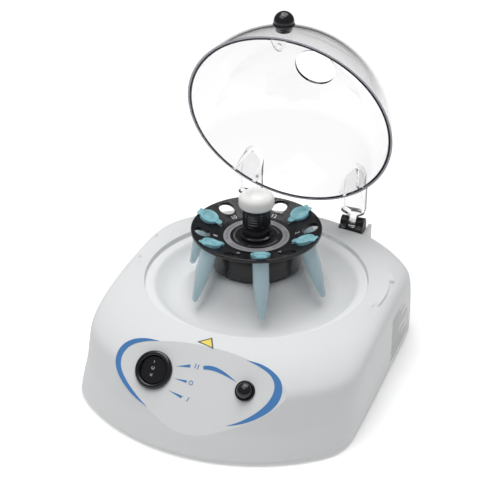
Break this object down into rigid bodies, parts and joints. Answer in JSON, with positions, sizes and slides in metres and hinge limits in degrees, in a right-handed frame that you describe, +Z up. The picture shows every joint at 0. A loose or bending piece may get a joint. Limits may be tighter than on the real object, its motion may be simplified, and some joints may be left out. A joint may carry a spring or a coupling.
{
  "type": "laboratory mini centrifuge",
  "caption": "Bench-top mini centrifuge and vortex mixer: a domed clear lid hinged on a rounded case, over a tilted-place tube rotor with a mixing cup on its spindle.",
  "frame": {"origin": "On the table under the middle of the outer size with the lid open; the rotor's axis is parallel to Z, a little behind the origin.", "axes": "+Z up; -Y towards the control panel at the front; +X to the right of someone facing the panel."},
  "size_m": [0.19, 0.2519, 0.2291],
  "materials": {
    "case_plastic": "moulded, fine satin grain",
    "base_plastic": "moulded, satin",
    "rubber": "matt",
    "gloss_black": "polished",
    "matte_black": "satin",
    "lid_clear": "clear, polished",
    "cup_white": "soft satin",
    "steel": "zinc plated",
    "motor_metal": "rolled",
    "aluminium": "extruded",
    "scale_ring": "printed",
    "tube_plastic": "translucent",
    "board": "solder mask",
    "relay": "moulded",
    "label": "printed film"
  },
  "bodies": {
    "base": {"base_plate": "base_plastic", "board_capacitor": "matte_black", "board_heat_sink": "aluminium", "board_relay": "relay", "bowl_boss": "case_plastic", "bowl_ring": "case_plastic", "button_sleeve": "gloss_black", "button_spring": "steel", "case_screw_front_left": "steel", "case_screw_front_right": "steel", "case_screw_rear_left": "steel", "case_screw_rear_right": "steel", "circuit_board": "board", "foot_front_left": "rubber", "foot_front_right": "rubber", "foot_rear_left": "rubber", "foot_rear_right": "rubber", "hinge_bracket_left": "matte_black", "hinge_bracket_right": "matte_black", "hinge_pin_left": "steel", "hinge_pin_right": "steel", "hinge_screw_left": "steel", "hinge_screw_right": "steel", "lid_switch": "matte_black", "motor": "motor_metal", "motor_bush_1": "rubber", "motor_bush_2": "rubber", "motor_bush_3": "rubber", "motor_plate": "steel", "motor_screw_1": "steel", "motor_screw_2": "steel", "motor_screw_3": "steel", "power_socket": "matte_black", "rating_label": "label", "switch_bezel": "gloss_black", "upper_case": "case_plastic"},
    "lid": {"lid_dome": "lid_clear", "lid_arm_left": "lid_clear", "lid_arm_right": "lid_clear", "lid_knob": "gloss_black"},
    "rotor": {"rotor_disc": "gloss_black", "rotor_drum": "matte_black", "rotor_scale_ring": "scale_ring", "rotor_shaft": "steel", "rotor_clamp_nut": "matte_black", "vortex_cup": "cup_white"},
    "rocker": {"switch_rocker": "gloss_black"},
    "button": {"push_button": "gloss_black"},
    "tube_1": {"tube_1": "tube_plastic", "tube_lid_1": "tube_plastic"},
    "tube_2": {"tube_2": "tube_plastic", "tube_lid_2": "tube_plastic"},
    "tube_3": {"tube_3": "tube_plastic", "tube_lid_3": "tube_plastic"},
    "tube_4": {"tube_4": "tube_plastic", "tube_lid_4": "tube_plastic"},
    "tube_5": {"tube_5": "tube_plastic", "tube_lid_5": "tube_plastic"},
    "tube_6": {"tube_6": "tube_plastic", "tube_lid_6": "tube_plastic"}
  },
  "joints": [
    {"name": "lid_hinge", "type": "hinge", "parent": "base", "child": "lid", "pos_m": [0, 0.0954, 0.0599], "axis": [1, 0, 0], "range_deg": [0, 71.8]},
    {"name": "rotor_spin", "type": "hinge", "parent": "base", "child": "rotor", "pos_m": [0, 0.0029, 0.08], "axis": [0, 0, 1], "continuous": true},
    {"name": "switch_rock", "type": "hinge", "parent": "base", "child": "rocker", "pos_m": [-0.0307, -0.09624, 0.03883], "axis": [1, 0, 0], "range_deg": [-10, 10]},
    {"name": "button_press", "type": "slide", "parent": "base", "child": "button", "axis": [0, 0.7431, -0.6691], "range_m": [0, 0.002], "stiffness_N_per_m": 250, "springref_m": -0.0015, "deforming": ["button_spring"]},
    {"name": "tube_lift_1", "type": "slide", "parent": "rotor", "child": "tube_1", "axis": [0.1404, -0.301, -0.9432], "range_m": [-0.048, 0]},
    {"name": "tube_lift_2", "type": "slide", "parent": "rotor", "child": "tube_2", "axis": [0.3309, -0.0289, -0.9432], "range_m": [-0.048, 0]},
    {"name": "tube_lift_3", "type": "slide", "parent": "rotor", "child": "tube_3", "axis": [0.1905, 0.2721, -0.9432], "range_m": [-0.048, 0]},
    {"name": "tube_lift_4", "type": "slide", "parent": "rotor", "child": "tube_4", "axis": [-0.1404, 0.301, -0.9432], "range_m": [-0.048, 0]},
    {"name": "tube_lift_5", "type": "slide", "parent": "rotor", "child": "tube_5", "axis": [-0.3309, 0.0289, -0.9432], "range_m": [-0.048, 0]},
    {"name": "tube_lift_6", "type": "slide", "parent": "rotor", "child": "tube_6", "axis": [-0.1905, -0.2721, -0.9432], "range_m": [-0.048, 0]}
  ]
}
